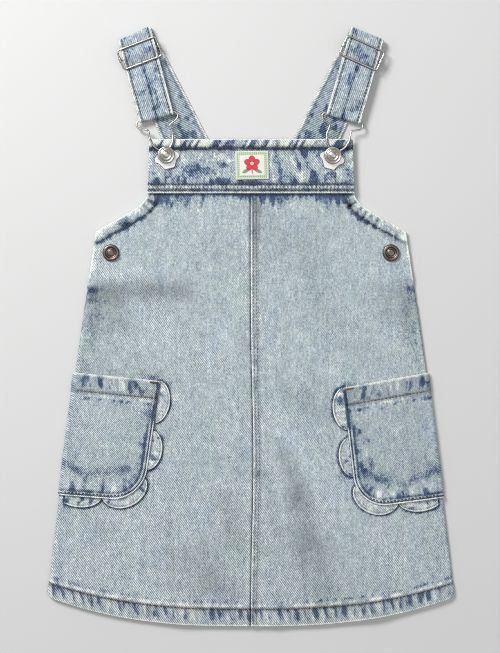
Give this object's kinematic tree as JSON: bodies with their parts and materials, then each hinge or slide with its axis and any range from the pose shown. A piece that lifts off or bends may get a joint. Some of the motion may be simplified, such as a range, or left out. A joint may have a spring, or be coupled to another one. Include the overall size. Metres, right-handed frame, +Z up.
{
  "type": "toddler's denim overall skirt",
  "caption": "Toddler's light denim pinafore skirt with a bib, buckled straps, scallop-trimmed side pockets and a centre seam, laid flat on its back.",
  "frame": {"origin": "on the surface that the garment lies on, under the middle of its outline", "axes": "+X to the right of the front as seen from above, +Y from the hem to the straps, +Z up away from the surface"},
  "size_m": [0.338, 0.4985, 0.011],
  "materials": {
    "denim": "light acid-washed cotton denim, worn white on edges and seams",
    "scallop_denim": "the same washed denim, turned and pressed into half-round flaps",
    "label": null,
    "buckle_metal": "nickel plated steel, slightly aged",
    "dark_button": "antiqued dark nickel"
  },
  "bodies": {
    "root": {"bib": "denim", "label": "label", "front_left": "denim", "back_left": "denim", "pocket_left": "denim", "scallops_left": "scallop_denim", "strap_left": "denim", "slider_left": "buckle_metal", "clip_left": "buckle_metal", "clip_plate_left": "buckle_metal", "bib_button_left": "buckle_metal", "side_button_left": "dark_button", "front_right": "denim", "back_right": "denim", "pocket_right": "denim", "scallops_right": "scallop_denim", "strap_right": "denim", "slider_right": "buckle_metal", "clip_right": "buckle_metal", "clip_plate_right": "buckle_metal", "bib_button_right": "buckle_metal", "side_button_right": "dark_button"}
  },
  "joints": []
}
